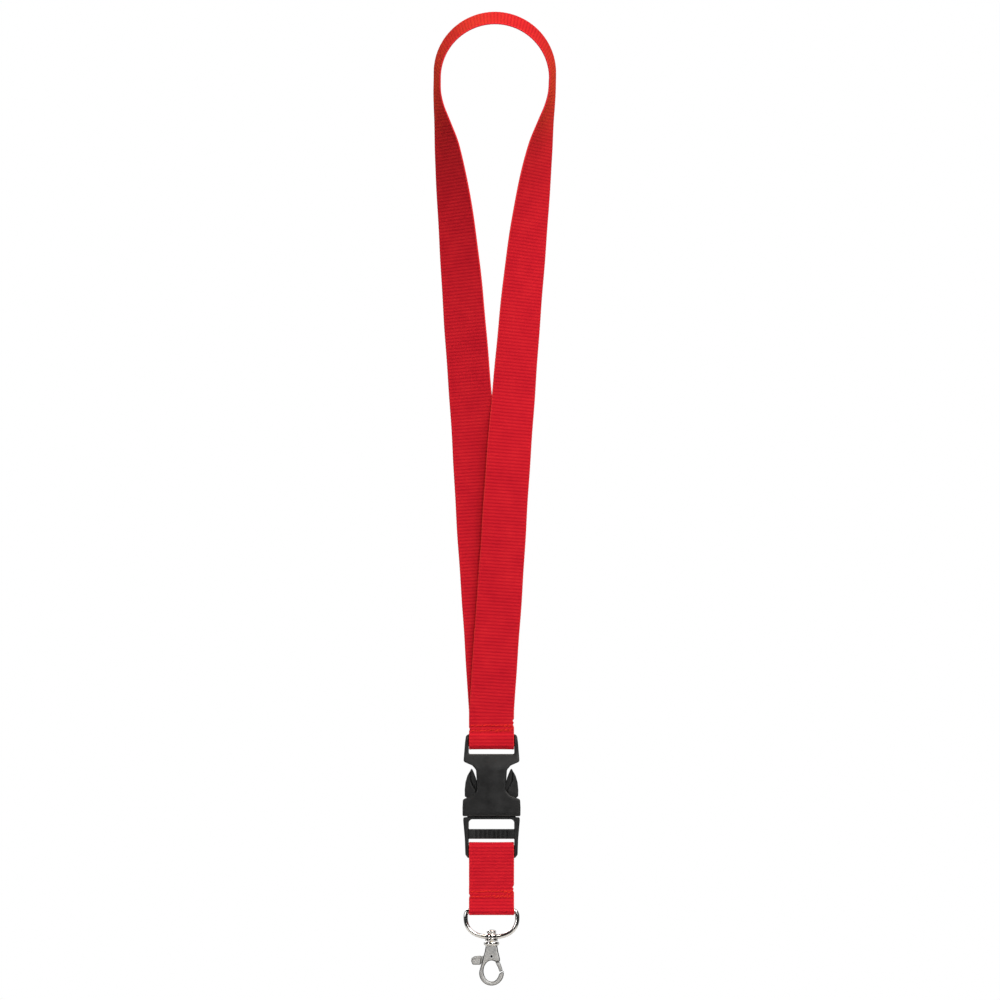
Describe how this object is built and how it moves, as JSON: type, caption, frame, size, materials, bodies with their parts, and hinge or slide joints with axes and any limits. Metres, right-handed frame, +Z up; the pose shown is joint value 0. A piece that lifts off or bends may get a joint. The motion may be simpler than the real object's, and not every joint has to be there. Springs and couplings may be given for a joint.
{
  "type": "neck lanyard",
  "caption": "Neck lanyard of wide red ribbed webbing, sewn at its lower end, with a black side-release buckle, a short strap, a D-ring and a swivelling trigger hook.",
  "frame": {"origin": "on the underside of the crown at the middle of the webbing's width, straight above the buckle: where a neck or a peg carries the lanyard", "axes": "+Z up along the plumb line the lanyard hangs on, +X to the right seen from the front, front face towards -Y"},
  "size_m": [0.0692, 0.0306, 0.5407],
  "materials": {
    "webbing": "matt ribbed polyester webbing",
    "thread": "slightly shiny polyester thread",
    "acetal": "fine satin moulding",
    "nickel": "bright nickel plating, slightly worn",
    "spring_wire": "drawn wire"
  },
  "bodies": {
    "neck_loop": {"neck_strap": "webbing"},
    "socket": {"neck_strap_sewn_end": "webbing", "neck_seam_thread": "thread", "buckle_socket": "acetal"},
    "plug": {"buckle_plug": "acetal", "lower_strap_fold": "webbing"},
    "left_arm": {"buckle_left_arm": "acetal"},
    "right_arm": {"buckle_right_arm": "acetal"},
    "lower_strap": {"lower_strap": "webbing", "lower_seam_thread": "thread"},
    "d_ring": {"d_ring": "nickel"},
    "swivel": {"swivel_eye": "nickel"},
    "hook": {"hook_body": "nickel", "gate_rivet": "nickel", "gate_spring": "spring_wire"},
    "gate": {"hook_gate": "nickel"}
  },
  "joints": [
    {"name": "neck_strap_flex", "type": "hinge", "parent": "neck_loop", "child": "socket", "pos_m": [0, 0, -0.387], "axis": [1, 0, 0], "range_deg": [-45, 45]},
    {"name": "buckle_release", "type": "slide", "parent": "socket", "child": "plug", "axis": [0, 0, -1], "range_m": [0, 0.03], "deforming": ["buckle_left_arm", "buckle_right_arm"]},
    {"name": "left_arm_squeeze", "type": "hinge", "parent": "plug", "child": "left_arm", "pos_m": [-0.0121, 0, -0.441], "axis": [0, 1, 0], "range_deg": [0, 7.5], "stiffness_Nm_per_rad": 0.5},
    {"name": "right_arm_squeeze", "type": "hinge", "parent": "plug", "child": "right_arm", "pos_m": [0.0121, 0, -0.441], "axis": [0, -1, 0], "range_deg": [0, 7.5], "stiffness_Nm_per_rad": 0.5},
    {"name": "lower_strap_flex", "type": "hinge", "parent": "plug", "child": "lower_strap", "pos_m": [0, 0, -0.4697], "axis": [1, 0, 0], "range_deg": [-40, 40]},
    {"name": "d_ring_swing", "type": "hinge", "parent": "lower_strap", "child": "d_ring", "pos_m": [0, 0, -0.4954], "axis": [1, 0, 0], "range_deg": [-90, 90]},
    {"name": "eye_swing", "type": "hinge", "parent": "d_ring", "child": "swivel", "pos_m": [0, 0, -0.51], "axis": [1, 0, 0], "range_deg": [-60, 60]},
    {"name": "hook_swivel", "type": "hinge", "parent": "swivel", "child": "hook", "pos_m": [0, 0, -0.5126], "axis": [0, 0, 1], "continuous": true},
    {"name": "gate_open", "type": "hinge", "parent": "hook", "child": "gate", "pos_m": [0, 0, -0.52075], "axis": [0, 1, 0], "range_deg": [0, 28], "stiffness_Nm_per_rad": 0.02}
  ]
}
